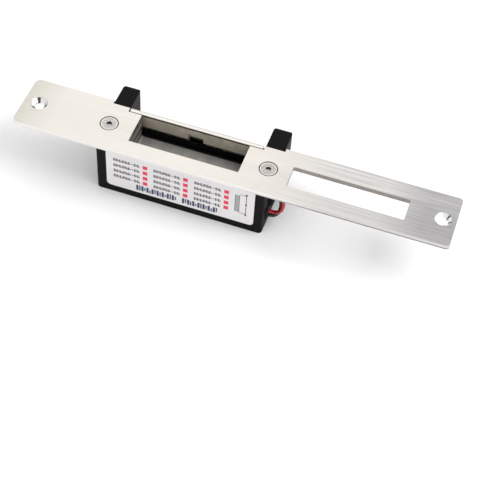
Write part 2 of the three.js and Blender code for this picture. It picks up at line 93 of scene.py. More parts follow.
# ---- Materials ----
class Shader:
    """A new material's node tree, with short names for the nodes that the finishes are made of.

    A mask is 1 where a finish shows and 0 elsewhere. Lengths are read in metres from the object's own
    coordinates, and the limits that they are compared with are given in millimetres.
    """

    def __init__(self, name):
        self.material = bpy.data.materials.new(name)
        self.material.use_nodes = True
        self.nodes = self.material.node_tree.nodes
        self.surface = self.nodes["Principled BSDF"]
        self.place = self.new("ShaderNodeTexCoord").outputs["Object"]

    def new(self, kind, **settings):
        node = self.nodes.new(kind)
        for name, value in settings.items():
            setattr(node, name, value)
        return node

    def link(self, source, target):
        self.material.node_tree.links.new(source, target)

    def put(self, target, value):
        """A link where value is a socket, and a plain setting where it is a number or colour."""
        if isinstance(value, bpy.types.NodeSocket):
            self.link(value, target)
        else:
            target.default_value = value

    def stretched(self, x, y, z):
        """Object coordinates scaled along each axis: a small scale draws the pattern out along that axis."""
        mapping = self.new("ShaderNodeMapping")
        mapping.inputs["Scale"].default_value = (x, y, z)
        self.link(self.place, mapping.inputs["Vector"])
        return mapping.outputs["Vector"]

    def noise(self, vector, scale, detail=4.0, roughness=0.55):
        node = self.new("ShaderNodeTexNoise")
        self.put(node.inputs["Vector"], vector)
        self.put(node.inputs["Scale"], scale)
        self.put(node.inputs["Detail"], detail)
        self.put(node.inputs["Roughness"], roughness)
        return node.outputs["Fac"]

    def remap(self, value, low, high, to_low=0.0, to_high=1.0):
        """From to_low to to_high as value goes from low to high, and no further."""
        node = self.new("ShaderNodeMapRange")
        for socket, setting in zip(node.inputs, (value, low, high, to_low, to_high)):
            self.put(socket, setting)
        return node.outputs["Result"]

    def math(self, operation, *values):
        node = self.new("ShaderNodeMath", operation=operation)
        for socket, value in zip(node.inputs, values):
            self.put(socket, value)
        return node.outputs["Value"]

    def axis(self, name, vector=None):
        """One coordinate of a vector, or of the place on the object."""
        node = self.new("ShaderNodeSeparateXYZ")
        self.link(vector or self.place, node.inputs["Vector"])
        return node.outputs[name]

    def spread(self, noise, first=0.0, last=1.0):
        """From first to last over the middle of a noise's range."""
        return self.remap(noise, 0.3, 0.7, first, last)

    def both(self, first, second):
        """The product of two masks: where both are 1."""
        return self.math("MULTIPLY", first, second)

    def fade(self, length, start, end, first=0.0, last=1.0):
        """From first to last as a length goes from start to end."""
        return self.remap(length, start * MM, end * MM, first, last)

    def above(self, length, limit):
        """A mask of where a length is over the limit."""
        return self.math("GREATER_THAN", length, limit * MM)

    def below(self, length, limit):
        """A mask of where a length is under the limit."""
        return self.math("LESS_THAN", length, limit * MM)

    def within(self, length, low, high):
        """A mask of where a length lies between low and high."""
        return self.both(self.above(length, low), self.below(length, high))

    def waves(self, length, pitch):
        """A sine wave along a length, with its pitch in millimetres."""
        return self.math("SINE", self.math("MULTIPLY", length, 2 * math.pi / (pitch * MM)))

    def steep(self):
        """1 on walls and 0 on faces that lie flat, with a soft change over a rounded edge."""
        flat_from, wall_to = 0.85, 0.5
        upright = self.axis("Z", self.new("ShaderNodeTexCoord").outputs["Normal"])
        return self.remap(self.math("ABSOLUTE", upright), flat_from, wall_to)

    def mix(self, share, first, second):
        node = self.new("ShaderNodeMix", data_type="RGBA")
        self.put(node.inputs[0], share)
        self.put(node.inputs[6], colour(first))
        self.put(node.inputs[7], colour(second))
        return node.outputs[2]

    def distance(self, x, y=0.0):
        """How far a point is from the upright line through x and y, which are in millimetres."""
        shift = self.new("ShaderNodeVectorMath", operation="SUBTRACT")
        self.link(self.place, shift.inputs[0])
        shift.inputs[1].default_value = mm(x, y, 0)
        flat = self.new("ShaderNodeVectorMath", operation="MULTIPLY")
        self.link(shift.outputs[0], flat.inputs[0])
        flat.inputs[1].default_value = (1, 1, 0)
        length = self.new("ShaderNodeVectorMath", operation="LENGTH")
        self.link(flat.outputs[0], length.inputs[0])
        return length.outputs["Value"]

    def bump(self, height, depth, strength=1.0):
        """Relief of that depth in millimetres."""
        node = self.new("ShaderNodeBump")
        node.inputs["Strength"].default_value = strength
        node.inputs["Distance"].default_value = depth * MM
        self.link(height, node.inputs["Height"])
        self.link(node.outputs["Normal"], self.surface.inputs["Normal"])

    def finish(self, base, roughness, metallic=0.0, **sockets):
        """The finished material; further sockets are named in lower case, such as coat_weight."""
        self.put(self.surface.inputs["Base Color"], colour(base))
        self.put(self.surface.inputs["Roughness"], roughness)
        self.put(self.surface.inputs["Metallic"], metallic)
        for name, value in sockets.items():
            self.surface.inputs[name.replace("_", " ").title().replace("Ior", "IOR")].default_value = value
        return self.material


def colour(value):
    """An (r, g, b) as the four numbers of a colour socket; a socket passes through."""
    if isinstance(value, bpy.types.NodeSocket):
        return value
    return (*value, 1.0)


# ---- Places on the metal where a finish or its painted light and shade changes, in millimetres ----
PLATE_LOW, PLATE_HIGH = (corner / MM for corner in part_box("faceplate"))
LEFT_END, RAILS, LONG_END = (-78, -97), (48, 80), (112, 136)  # along the plate
SKIN = 0.1  # how far under a face a recess in it starts
COUNTERSINKS = (  # x, number of dark arcs of painted reflection, their turn in degrees, and where they start from the middle
    (-89.5, 3, 102, -8.0),
    (145.7, 6, 140, 0.0),
)
COUNTERSINK_RADIUS = 4.95
COUNTERSINK_RIM = (4.5, 4.75)
ARC_FADE = 1.0  # how far the dark arcs of painted reflection take to fade in
LIP_GAP = {"half": 40.6, "near": 12.2, "far": 15.6}
SCREW_LOW, SCREW_HIGH = (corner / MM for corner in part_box("body_screw_right"))
SCREW_X = (SCREW_LOW.x + SCREW_HIGH.x) / 2
SCREW_SEAT = 5.4  # radius
SOCKET = {"radius": 1.95, "depth": 1.9}
CHAMFER_HIGHLIGHT, RIM_SHADE = (4.0, 4.3), (4.65, 4.85)  # radii of a screw head's painted highlight on its chamfer and painted shade at its rim, out from its middle
# where the liner's painted rib stripes and its painted shade under the keeper lie
LINER = {"end": (30.0, 31.2), "rib_pitch": 1.7, "ribs_from": 23.6, "back": (10.9, 11.7), "back_top": 30.0}
KEEPER = {"shade": (36.0, 29.0), "lip": (38.4, 38.8), "lip_rim": (14.4, 14.9), "back": (15.3, 16.6)}
# where the dark line of painted shade under the keeper's lip lies
GROOVE_SHADE = {"bottom": 37.6, "top": 38.5, "end_top": 38.9, "end": 32.3, "depth": 13.8}
NOTCH = {"half": 4.7, "bottom": 24.0, "top": 34.3, "front": 13.0, "back": 16.8, "shade": (30.2, 27.0)}


def countersink(s, base, x, lobes, turned, start):
    """Base with a turned countersink round the fixing hole at x, painted as a bright reflection with dark
    reflected arcs, and darker towards its rim.
    """
    away, east = s.distance(x), s.math("SUBTRACT", s.axis("X"), x * MM)
    sunk = s.both(s.below(away, COUNTERSINK_RADIUS), s.below(s.axis("Z"), PLATE_HIGH.z - SKIN))
    angle = s.math("ARCTAN2", s.axis("Y"), east)
    wave = s.math("SINE", s.math("ADD", s.math("MULTIPLY", angle, lobes), math.radians(turned)))
    arcs = s.both(s.remap(wave, 0.45, 0.95), s.fade(east, start, start + ARC_FADE))
    rim = s.fade(away, *COUNTERSINK_RIM, 0.0, 0.6)
    # painted reflection: a bright cone with dark reflected arcs, darker towards its rim
    painted_reflection = s.mix(s.math("MAXIMUM", arcs, rim), (0.90, 0.90, 0.90), (0.07, 0.07, 0.065))
    return s.mix(sunk, base, painted_reflection)


def cut_edge(s, x, y):
    """The plate's cut edges: upright saw marks, with painted light that is bright at the left of the near
    side and darker to its right, brown painted shade in the slot, and darker at the foot.
    """
    foot_dark_top, foot_dark_full, front = PLATE_LOW.z + 1.2, PLATE_LOW.z + 0.6, PLATE_LOW.y + 1.0
    marks = s.noise(s.stretched(6000, 6000, 200), 1.0, 2.0)
    # painted light: the near side's edge is bright at the left and darker to the right
    outer = s.mix(s.fade(x, 50, 85), (0.84, 0.82, 0.79), (0.60, 0.58, 0.57))
    # darker towards the foot of the edge
    dark_foot = s.both(s.fade(s.axis("Z"), foot_dark_top, foot_dark_full), s.fade(x, 30, 80, 0.1, 0.9))
    outer = s.mix(dark_foot, outer, (0.16, 0.145, 0.14))
    # painted shade: the slot's edges are darker and brown, more so to the right
    slot_shade = s.mix(s.fade(x, 45, 75), (0.50, 0.48, 0.45), (0.26, 0.23, 0.21))
    edge = s.mix(s.below(y, front), slot_shade, outer)
    return s.mix(s.remap(marks, 0.35, 0.65, 0.0, 0.18), edge, (0.80, 0.78, 0.75))


def gap_shade(s, x, y):
    """A mask of painted shade in the gaps round the keeper's lip and in the seats of the body screws."""
    half = LIP_GAP["half"]
    at_lip = s.both(s.within(y, LIP_GAP["near"], LIP_GAP["far"]), s.within(x, -half, half))
    seats = [s.below(s.distance(side * SCREW_X), SCREW_SEAT) for side in (-1, 1)]
    return s.math("MAXIMUM", at_lip, s.math("MAXIMUM", *seats))


def brushed_stainless():
    """Fine lengthwise brush lines, warm over the body and cooler and greyer towards the long end."""
    s = Shader("brushed_stainless")
    x, y = s.axis("X"), s.axis("Y")
    fine = s.noise(s.stretched(45, 4200, 4200), 1.0, 3.0)
    broad = s.noise(s.stretched(14, 900, 900), 1.0, 5.0, 0.65)
    cloud = s.noise(s.place, 38.0, 3.0)
    streaks, long_end = s.remap(broad, 0.36, 0.64), s.fade(x, *LONG_END)
    warm = s.mix(s.remap(cloud, 0.35, 0.65), (0.71, 0.665, 0.61), (0.66, 0.645, 0.59))
    warm = s.mix(s.fade(x, *LEFT_END), warm, (0.53, 0.52, 0.455))
    rail = s.mix(streaks, (0.46, 0.45, 0.44), (0.72, 0.71, 0.69))
    end = s.mix(streaks, (0.32, 0.31, 0.32), (0.52, 0.505, 0.515))
    base = s.mix(s.fade(x, *RAILS), warm, s.mix(long_end, rail, end))
    shine = s.mix(long_end, (0.78, 0.75, 0.71), (0.60, 0.585, 0.59))
    base = s.mix(s.remap(fine, 0.35, 0.62, 0.0, 0.5), base, shine)
    steep = s.steep()
    base = s.mix(steep, base, cut_edge(s, x, y))
    # painted shade: near black on the walls of the gaps round the lip and of the screw seats
    base = s.mix(s.both(steep, gap_shade(s, x, y)), base, (0.02, 0.018, 0.016))
    for hole in COUNTERSINKS:
        base = countersink(s, base, *hole)
    rough = s.math("ADD", s.spread(fine, 0.30, 0.46), s.spread(broad, -0.05, 0.05))
    s.bump(fine, 0.012, 0.5)
    return s.finish(base, rough, 1.0, anisotropic=0.4)


def satin_casting():
    """Black powder coat over a zinc casting: soft orange peel, slightly uneven in tone and gloss."""
    s = Shader("black_casting")
    peel = s.noise(s.place, 900.0, 5.0)
    cloud = s.noise(s.place, 60.0, 4.0)
    base = s.mix(s.remap(cloud, 0.35, 0.7), (0.0028, 0.0028, 0.003), (0.0065, 0.0062, 0.0062))
    s.bump(peel, 0.03, 0.35)
    return s.finish(base, s.spread(cloud, 0.42, 0.58), 0.0, specular_ior_level=0.07)


def plated_steel(name="plated_steel", dark=(0.20, 0.20, 0.19), light=(0.42, 0.41, 0.39)):
    """Zinc plate: grey with faint cloudy spangle and roll lines."""
    s = Shader(name)
    cloud = s.noise(s.place, 140.0, 6.0, 0.65)
    lines = s.noise(s.stretched(60, 2600, 700), 1.0, 3.0)
    base = s.mix(s.spread(cloud), dark, light)
    s.bump(lines, 0.015, 0.4)
    return s.finish(base, s.spread(lines, 0.34, 0.5), 0.95)


def pocket_steel():
    """The pressed liner: rolled grey steel, with painted light and shade in stripes along the ribs of its
    ends, and painted shade under the keeper.
    """
    s = Shader("pocket_steel")
    x, y, z = (s.axis(name) for name in "XYZ")
    cloud = s.noise(s.place, 140.0, 6.0, 0.65)
    lines = s.noise(s.stretched(60, 2600, 700), 1.0, 3.0)
    base = s.mix(s.spread(cloud), (0.29, 0.285, 0.27), (0.44, 0.43, 0.41))
    # painted light and shade: light and dark stripes along the ribs of the ends
    ribs = s.remap(s.waves(z, LINER["rib_pitch"]), -0.6, 0.6)
    rib_light_and_shade = s.mix(ribs, (0.05, 0.045, 0.042), (0.27, 0.25, 0.235))
    ends = s.both(s.fade(s.math("ABSOLUTE", x), *LINER["end"]), s.above(z, LINER["ribs_from"]))
    base = s.mix(ends, base, rib_light_and_shade)
    # painted shade: near black along the back of the floor, under the keeper
    shade_under_keeper = s.both(s.fade(y, *LINER["back"]), s.below(z, LINER["back_top"]))
    base = s.mix(shade_under_keeper, base, (0.006, 0.006, 0.006))
    s.bump(lines, 0.015, 0.4)
    return s.finish(base, s.spread(lines, 0.34, 0.5), 0.55)


def keeper_front(s, depth, height):
    """The keeper's olive-grey wall, with painted shade that darkens it downwards, below its satin lip with a
    darker rim.
    """
    cloud = s.noise(s.place, 150.0, 5.0)
    wall = s.mix(s.remap(cloud, 0.35, 0.65), (0.56, 0.52, 0.42), (0.80, 0.71, 0.60))
    # painted shade: the wall darkens downwards into the pocket
    wall = s.mix(s.fade(height, *KEEPER["shade"]), wall, (0.50, 0.45, 0.37))
    lip = s.mix(s.fade(depth, *KEEPER["lip_rim"]), (0.75, 0.73, 0.68), (0.52, 0.48, 0.42))
    return s.mix(s.fade(height, *KEEPER["lip"]), wall, lip)


def groove_shade(s, across, depth, height):
    """A mask of painted shade in the groove under the lip, which is taller past the ends of the strike
    opening.
    """
    ends = s.above(s.math("ABSOLUTE", across), GROOVE_SHADE["end"])
    taller = s.both(ends, s.within(height, GROOVE_SHADE["bottom"], GROOVE_SHADE["end_top"]))
    groove = s.math("MAXIMUM", s.within(height, GROOVE_SHADE["bottom"], GROOVE_SHADE["top"]), taller)
    return s.both(groove, s.below(depth, GROOVE_SHADE["depth"]))


def keeper_notch(s, across, depth, height):
    """A mask of the hollow of the notch in the middle of the wall."""
    notch = s.both(
        s.within(across, -NOTCH["half"], NOTCH["half"]), s.within(height, NOTCH["bottom"], NOTCH["top"])
    )
    return s.both(notch, s.within(depth, NOTCH["front"], NOTCH["back"]))


def keeper_steel():
    """The keeper: its front, its brushed back, painted shade in the groove under its lip and painted light
    and shade in the notch in its middle.
    """
    s = Shader("keeper_steel")
    across, depth, height = (s.axis(name) for name in "XYZ")
    lines = s.noise(s.stretched(30, 3000, 900), 1.0, 4.0)
    back = s.mix(s.remap(lines, 0.35, 0.65), (0.36, 0.345, 0.315), (0.50, 0.48, 0.44))
    base = s.mix(s.fade(depth, *KEEPER["back"]), keeper_front(s, depth, height), back)
    # painted shade: a dark line under the lip
    base = s.mix(groove_shade(s, across, depth, height), base, (0.03, 0.026, 0.022))
    # painted light and shade in the notch: light at its top, fading to near black at its bottom
    hollow = s.mix(s.fade(height, *NOTCH["shade"]), (0.85, 0.78, 0.66), (0.008, 0.007, 0.006))
    base = s.mix(keeper_notch(s, across, depth, height), base, hollow)
    s.bump(lines, 0.012, 0.4)
    return s.finish(base, s.spread(lines, 0.30, 0.48), 0.6)


def turned_steel(name, x, y):
    """A screw head turned on a lathe: fine rings, a painted highlight on its chamfer, painted shade at its
    rim, and a deep hex socket with painted shade on its walls and a painted highlight on its floor.
    """
    s = Shader(name)
    away, height = s.distance(x, y), s.axis("Z")
    ring_pitch = 0.42
    rings = s.waves(away, ring_pitch)
    speck = s.noise(s.place, 700.0, 4.0)
    base = s.mix(s.spread(speck), (0.40, 0.38, 0.36), (0.58, 0.56, 0.53))
    # painted highlight on the chamfer, and painted shade at the rim
    base = s.mix(s.fade(away, *CHAMFER_HIGHLIGHT), base, (0.74, 0.72, 0.69))
    base = s.mix(s.fade(away, *RIM_SHADE), base, (0.03, 0.028, 0.026))
    # painted shade on the socket's walls and a painted highlight on its floor
    socket = s.both(s.below(away, SOCKET["radius"]), s.below(height, SCREW_HIGH.z - SKIN))
    floor = s.below(height, SCREW_HIGH.z - SOCKET["depth"])
    base = s.mix(socket, base, s.mix(floor, (0.04, 0.036, 0.032), (0.92, 0.90, 0.87)))
    s.bump(rings, 0.02, 0.5)
    metallic = s.math("SUBTRACT", 1.0, s.both(socket, floor))
    return s.finish(base, s.remap(rings, -1.0, 1.0, 0.28, 0.42), metallic)


def drawn_wire():
    """Bright drawn wire with a fine speckle."""
    s = Shader("spring_steel")
    speck = s.noise(s.place, 1500.0, 4.0)
    base = s.mix(s.spread(speck), (0.20, 0.195, 0.19), (0.40, 0.39, 0.38))
    return s.finish(base, s.spread(speck, 0.26, 0.42), 1.0)


def label_film():
    """White film with a faint cool tint and the softest ripple."""
    s = Shader("label_film")
    ripple = s.noise(s.place, 45.0, 2.0)
    grain = s.noise(s.place, 2500.0, 2.0)
    base = s.mix(s.remap(ripple, 0.35, 0.65), (0.75, 0.735, 0.745), (0.80, 0.78, 0.785))
    s.bump(grain, 0.004, 0.3)
    return s.finish(base, s.spread(ripple, 0.34, 0.44))


def printed_ink(name, dark, light):
    """Satin ink, slightly uneven in tone."""
    s = Shader(name)
    speck = s.noise(s.place, 1800.0, 3.0)
    return s.finish(s.mix(s.spread(speck), dark, light), s.spread(speck, 0.35, 0.5))


def moulded(name, dark, light, rough=(0.4, 0.55), grain=1400.0):
    """Moulded plastic or rubber: a fine even texture and a slight variation in tone."""
    s = Shader(name)
    speck = s.noise(s.place, grain, 3.0)
    cloud = s.noise(s.place, 110.0, 3.0)
    s.bump(speck, 0.012, 0.4)
    return s.finish(s.mix(s.spread(cloud), dark, light), s.spread(speck, *rough))


def insulation(name, dark, light):
    """Extruded PVC: glossy, with a faint waviness in its tone and gloss."""
    s = Shader(name)
    cloud = s.noise(s.place, 260.0, 3.0)
    s.bump(cloud, 0.02, 0.35)
    base, rough = s.mix(s.spread(cloud), dark, light), s.spread(cloud, 0.16, 0.28)
    return s.finish(base, rough, coat_weight=0.2, coat_roughness=0.12)


def wound_tape():
    """Amber tape over the winding, with the wire's turns showing through as fine rings."""
    s = Shader("winding_tape")
    wire_pitch = 0.35
    turns = s.waves(s.axis("X"), wire_pitch)
    cloud = s.noise(s.place, 200.0, 3.0)
    tone = s.math("ADD", s.remap(turns, -1.0, 1.0, 0.0, 0.5), s.spread(cloud, 0.0, 0.5))
    s.bump(turns, 0.03, 0.6)
    return s.finish(s.mix(tone, (0.16, 0.045, 0.010), (0.46, 0.19, 0.05)), 0.3, 0.2)


FINISHES = {
    "brushed_stainless": brushed_stainless(),
    "black_casting": satin_casting(),
    "plated_steel": plated_steel(),
    "pocket_steel": pocket_steel(),
    "keeper_steel": keeper_steel(),
    "screw_steel": plated_steel("screw_steel", (0.42, 0.41, 0.39), (0.60, 0.58, 0.56)),
    "spring_steel": drawn_wire(),
    "label_film": label_film(),
    "black_rubber": moulded("black_rubber", (0.008, 0.008, 0.008), (0.02, 0.02, 0.02), (0.55, 0.75)),
    "black_nylon": moulded("black_nylon", (0.012, 0.012, 0.013), (0.03, 0.03, 0.032)),
    "winding_tape": wound_tape(),
    "phenolic_board": moulded("phenolic_board", (0.13, 0.055, 0.02), (0.22, 0.10, 0.04), grain=900.0),
    "diode_body": moulded("diode_body", (0.008, 0.008, 0.008), (0.02, 0.02, 0.02)),
    "red_insulation": insulation("red_insulation", (0.30, 0.003, 0.008), (0.50, 0.010, 0.018)),
    "black_insulation": insulation("black_insulation", (0.005, 0.005, 0.005), (0.012, 0.012, 0.012)),
    "white_tie": moulded("white_tie", (0.70, 0.70, 0.69), (0.82, 0.82, 0.81)),
}


# ---- Pieces ----
def add_piece(name, body, material_slot, mesh, material=None, smooth=True):
    """Links a finished mesh as a piece that rides on body, unless that is None."""
    piece = bpy.data.objects.new(name, mesh)
    bpy.context.scene.collection.objects.link(piece)
    mesh.materials.append(material or FINISHES[material_slot])
    for face in mesh.polygons:
        face.use_smooth = smooth
    if body:
        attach(piece, body)
    return piece


def tube_mesh(name, points, radius, sides=14):
    """A closed round tube along points, with its section carried on from ring to ring."""
    rings = []
    ahead = (points[1] - points[0]).normalized()
    side = ahead.orthogonal().normalized()
    for i, point in enumerate(points):
        before, after = points[max(i - 1, 0)], points[min(i + 1, len(points) - 1)]
        ahead = (after - before).normalized()
        side = (side - ahead * side.dot(ahead)).normalized()
        across = ahead.cross(side)
        turns = [2 * math.pi * k / sides for k in range(sides)]
        rings.append([point + (side * math.cos(t) + across * math.sin(t)) * radius for t in turns])
    shape = bmesh.new()
    loops = [[shape.verts.new(v) for v in ring] for ring in rings]
    for low, high in zip(loops, loops[1:]):
        for k in range(sides):
            shape.faces.new((low[k], low[(k + 1) % sides], high[(k + 1) % sides], high[k]))
    shape.faces.new(list(reversed(loops[0])))
    shape.faces.new(loops[-1])
    mesh = bpy.data.meshes.new(name)
    shape.to_mesh(mesh)
    shape.free()
    return mesh


def curve_through(points, steps):
    """Points of a Catmull-Rom curve through the given ones, steps to each stretch."""
    ends = [points[0] * 2 - points[1], *points, points[-1] * 2 - points[-2]]
    line = []
    for a, b, c, d in zip(ends, ends[1:], ends[2:], ends[3:]):
        square = a * 2 - b * 5 + c * 4 - d
        cubic = b * 3 - a - c * 3 + d
        for i in range(steps):
            t = i / steps
            line.append((b * 2 + (c - a) * t + square * t**2 + cubic * t**3) / 2)
    return line + [points[-1]]


# ---- Leads: out of the end wall, round a loop and down to a tied hank behind the body, in millimetres ----
WIRE_RADIUS = 1.1
HANK = {"left": 11.0, "right": 33.0, "near": 19.6, "inner_near": 22.0, "far": 35.2}  # its ends and runs
RED = [
    (44.5, -5, 10.2), (48, -5, 10.2), (51, -5, 10.4), (54.4, -5.2, 10.6), (57.4, -5.5, 13.1),
    (58.6, -5.5, 17), (58.5, -4.9, 21.3), (57.2, -3.2, 25.8), (55.6, -0.2, 29.4), (54.6, 4.2, 30.9),
    (53.9, 8.9, 28.5), (53.6, 12.2, 22.6), (53.5, 13.8, 16), (53.5, 15.9, 8.6), (53, 18.4, 4.5),
    (49.4, 20.9, 2.4), (46, 21.7, 2.2), (42.6, 21.4, 3.2), (39.2, 19.6, 4.4),
]
BLACK = [
    (44.5, -5, 6.5), (48, -5, 6.5), (51, -5, 6.7), (54, -4.6, 7.2), (56.2, -3.6, 9.6),
    (56.9, -2.4, 13.4), (56.3, -1.2, 17.6), (55.4, 0, 22), (54.6, 2, 25.4), (54, 5, 26.6),
    (53.6, 8.2, 24.8), (53.5, 10.2, 20.4), (53.5, 10.9, 15.6), (53.5, 13.1, 8.2), (52.9, 15.7, 3.9),
    (49.2, 18, 1.5), (45.5, 19.1, 1.2), (42.4, 19.5, 1.4), (39.2, 19.6, 1.9),
]


def half_turn(x, near, far, height, side):
    """Points round one end of the hank, from near to far, bulging to that side."""
    middle, radius, steps = (near + far) / 2, (far - near) / 2, 24
    turns = [math.pi * i / steps for i in range(steps + 1)]
    return [mm(x + side * abs(radius) * math.sin(t), middle - radius * math.cos(t), height) for t in turns]


def hank_turns(height):
    """A flat hank wound inwards: round its left end, along its far side, round its right end and back."""
    left, right = HANK["left"], HANK["right"]
    return [
        *half_turn(left, HANK["near"], HANK["far"], height, -1),
        *half_turn(right, HANK["far"], HANK["inner_near"], height, 1),
        mm(left, HANK["inner_near"], height),
    ]


def lead(name, route, material_slot):
    """One lead as a curve along its route and round its hank."""
    path = curve_through([mm(*p) for p in route], 8) + hank_turns(route[-1][2])
    line = bpy.data.curves.new(name, "CURVE")
    line.dimensions = "3D"
    line.bevel_depth = WIRE_RADIUS * MM
    line.bevel_resolution = 5
    line.use_fill_caps = True
    spline = line.splines.new("POLY")
    spline.points.add(len(path) - 1)
    for point, place in zip(spline.points, path):
        point.co = (*place, 1.0)
    line.materials.append(FINISHES[material_slot])
    piece = bpy.data.objects.new(name, line)
    bpy.context.scene.collection.objects.link(piece)
    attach(piece, "housing")
    return piece


for name, route, material_slot, nodes in (
    ("lead_red_wire", RED, "red_insulation", ("lead_red", "lead_red_hank")),
    ("lead_black_wire", BLACK, "black_insulation", ("lead_black", "lead_black_hank")),
):
    piece = lead(name, route, material_slot)
    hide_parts(*nodes)


# ---- Springs ----
HINGE = (19.0, 20.5)  # y and z of the keeper's axis, in millimetres
KEEPER_SPRING = {"first": 16.4, "last": 25.6, "radius": 2.9, "turns": 6.25, "wire": 0.4}
RETURN_WIRE = 0.25 * MM  # radius of the return spring's wire
PER_TURN = 30  # points in each turn of a spring


def keeper_spring_points(side):
    """A torsion spring round the hinge rod: one leg up the keeper's back, the other under the pocket."""
    first, last, radius = (KEEPER_SPRING[key] for key in ("first", "last", "radius"))
    y, z = HINGE
    leg = [(first, y + 2.5, z + 8.5), (first, y + 2.8, z + 4)]
    count = round(KEEPER_SPRING["turns"] * PER_TURN)
    coil = []
    for i in range(count + 1):
        turn = -2 * math.pi * i / PER_TURN
        x = first + (last - first) * i / count
        coil.append((x, y + radius * math.cos(turn), z + radius * math.sin(turn)))
    foot = [(last, 14.5, 18.2), (last, 10.6, 19.3)]
    straight_in = curve_through([mm(*p) for p in (*leg, coil[0], coil[1])], 6)[:-6]
    straight_out = curve_through([mm(*p) for p in (coil[-2], coil[-1], *foot)], 6)[6:]
    points = [*straight_in, *(mm(*p) for p in coil[1:-1]), *straight_out]
    return [Vector((side * p.x, p.y, p.z)) for p in points]


for side, word in ((-1, "left"), (1, "right")):
    points = keeper_spring_points(side)
    mesh = tube_mesh(f"keeper_spring_{word}_coil", points, KEEPER_SPRING["wire"] * MM)
    spring = add_piece(mesh.name, None, "spring_steel", mesh)
    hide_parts(f"keeper_spring_{word}")
    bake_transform(spring)


def return_spring_points():
    """The compression spring on the plunger, with a closed flat turn at each end."""
    low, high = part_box("return_spring")
    first, last = low.x + RETURN_WIRE, high.x - RETURN_WIRE
    y, z = (low.y + high.y) / 2, (low.z + high.z) / 2
    radius = (high.z - low.z) / 2 - RETURN_WIRE
    turns = 6.5
    points = []
    for i in range(round(turns * PER_TURN) + 1):
        turn = i / PER_TURN
        angle = turn * 2 * math.pi
        along = min(max((turn - 1) / (turns - 2), 0), 1)
        closed = 2 * RETURN_WIRE * (min(turn, 1) + max(turn - turns + 1, 0))
        x = first + closed + (last - first - 4 * RETURN_WIRE) * along
        points.append(Vector((x, y + radius * math.cos(angle), z + radius * math.sin(angle))))
    return points


mesh = tube_mesh("return_spring_coil", return_spring_points(), RETURN_WIRE)
spring = add_piece(mesh.name, "housing", "spring_steel", mesh)
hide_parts("return_spring")
low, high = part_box("return_spring")
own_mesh(spring)


# ---- Label graphics, in millimetres ----
LABEL_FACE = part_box("rating_label")[0].y / MM
PRINT = 0.04  # how far the print stands out
SUNK = 0.01  # how far it reaches into the film


def flat_bars(name, bars, material):
    """Print on the label: each bar is (left, bottom, right, top) on its front face."""
    shape = bmesh.new()
    for left, bottom, right, top in bars:
        made = bmesh.ops.create_cube(shape, size=1.0)
        middle = mm((left + right) / 2, LABEL_FACE - (PRINT - SUNK) / 2, (bottom + top) / 2)
        extent = Matrix.Diagonal((*mm(right - left, PRINT + SUNK, top - bottom), 1))
        bmesh.ops.transform(shape, matrix=Matrix.Translation(middle) @ extent, verts=made["verts"])
    mesh = bpy.data.meshes.new(name)
    shape.to_mesh(mesh)
    shape.free()
    return add_piece(name, "housing", "label_film", mesh, material, smooth=False)


ROWS = [27.7, 23.2, 18.7, 14.3]  # heights of the table's rows
BOXES = [-19.9, 4.15, 28.3]  # middles of its three columns of tick boxes
BOX_HALF = 1.4
LINE_LENGTH = 16.0
LINE_GAP = 2.95  # from a box's middle to the end of its line
DASH = {"from": 0.2, "to": 1.4, "half": 0.25}  # in its place in the line


def strokes(left, right, bottom, top, count, gap_at):
    """A generic line of print: pairs of a thick and a thin upright stroke, with one gap."""
    pitch, step = (right - left) / count, (top - bottom) / 5
    thick, thin = 0.44 * pitch, (0.58 * pitch, 0.84 * pitch)
    bars = []
    for i in range(count):
        x = left + i * pitch
        if i != gap_at:
            bars.append((x, bottom, x + thick, top))
            bars.append((x + thin[0], bottom + step * (i % 2), x + thin[1], top - step * (i % 3)))
    return bars


def line_of_marks(right, middle):
    """One row of the table: nine places for a pair of strokes, with a dash in the seventh."""
    left, half, count, dash_at = right - LINE_LENGTH, 1.1, 9, 6
    place = left + LINE_LENGTH * dash_at / count
    dash = (place + DASH["from"], middle - DASH["half"], place + DASH["to"], middle + DASH["half"])
    return [dash, *strokes(left, right, middle - half, middle + half, count, dash_at)]


marks = [bar for x in BOXES for z in ROWS for bar in line_of_marks(x - LINE_GAP, z)]
squares = [(x - BOX_HALF, z - BOX_HALF, x + BOX_HALF, z + BOX_HALF) for x in BOXES for z in ROWS]
ink = printed_ink("dark_ink", (0.05, 0.04, 0.05), (0.10, 0.09, 0.10))
red_ink = printed_ink("red_ink", (0.72, 0.022, 0.075), (0.84, 0.035, 0.10))
navy_ink = printed_ink("navy_ink", (0.012, 0.022, 0.085), (0.03, 0.045, 0.14))
grey_ink = printed_ink("grey_ink", (0.14, 0.14, 0.145), (0.22, 0.22, 0.225))
flat_bars("label_marks", marks, ink)
flat_bars("label_boxes", squares, red_ink)
title = strokes(left=-25.3, right=23.8, bottom=7.2, top=11.5, count=16, gap_at=8)
flat_bars("label_title", title, navy_ink)

SYMBOL_EDGE = 36.1  # the coil's right side, where the wires leave it


def coil_symbol():
    """A generic coil: a column of short hatches between two sides."""
    left, bottom, top, pitch, hatch, side = 33.3, 13.8, 28.1, 0.75, 0.42, 0.25
    heights = [bottom + i * pitch for i in range(int((top - bottom) / pitch))]
    hatches = [(left, z, SYMBOL_EDGE, z + hatch) for z in heights]
    return hatches + [(left, bottom, left + side, top), (SYMBOL_EDGE - side, bottom, SYMBOL_EDGE, top)]


def wiring_symbol():
    """A generic wire line with three junctions, joined to the coil at both ends."""
    x, half, thin, junctions, branches = 39.9, 0.2, 0.3, (12.6, 21.3, 29.6), (28.6, 13.2)
    across, up = 0.6, 0.55  # half of a junction's mark
    dots = [(x - across, z - up, x + across, z + up) for z in junctions]
    line = (x - half, junctions[0], x + half, junctions[-1])
    return dots + [line, *((SYMBOL_EDGE, z, x, z + thin) for z in branches)]


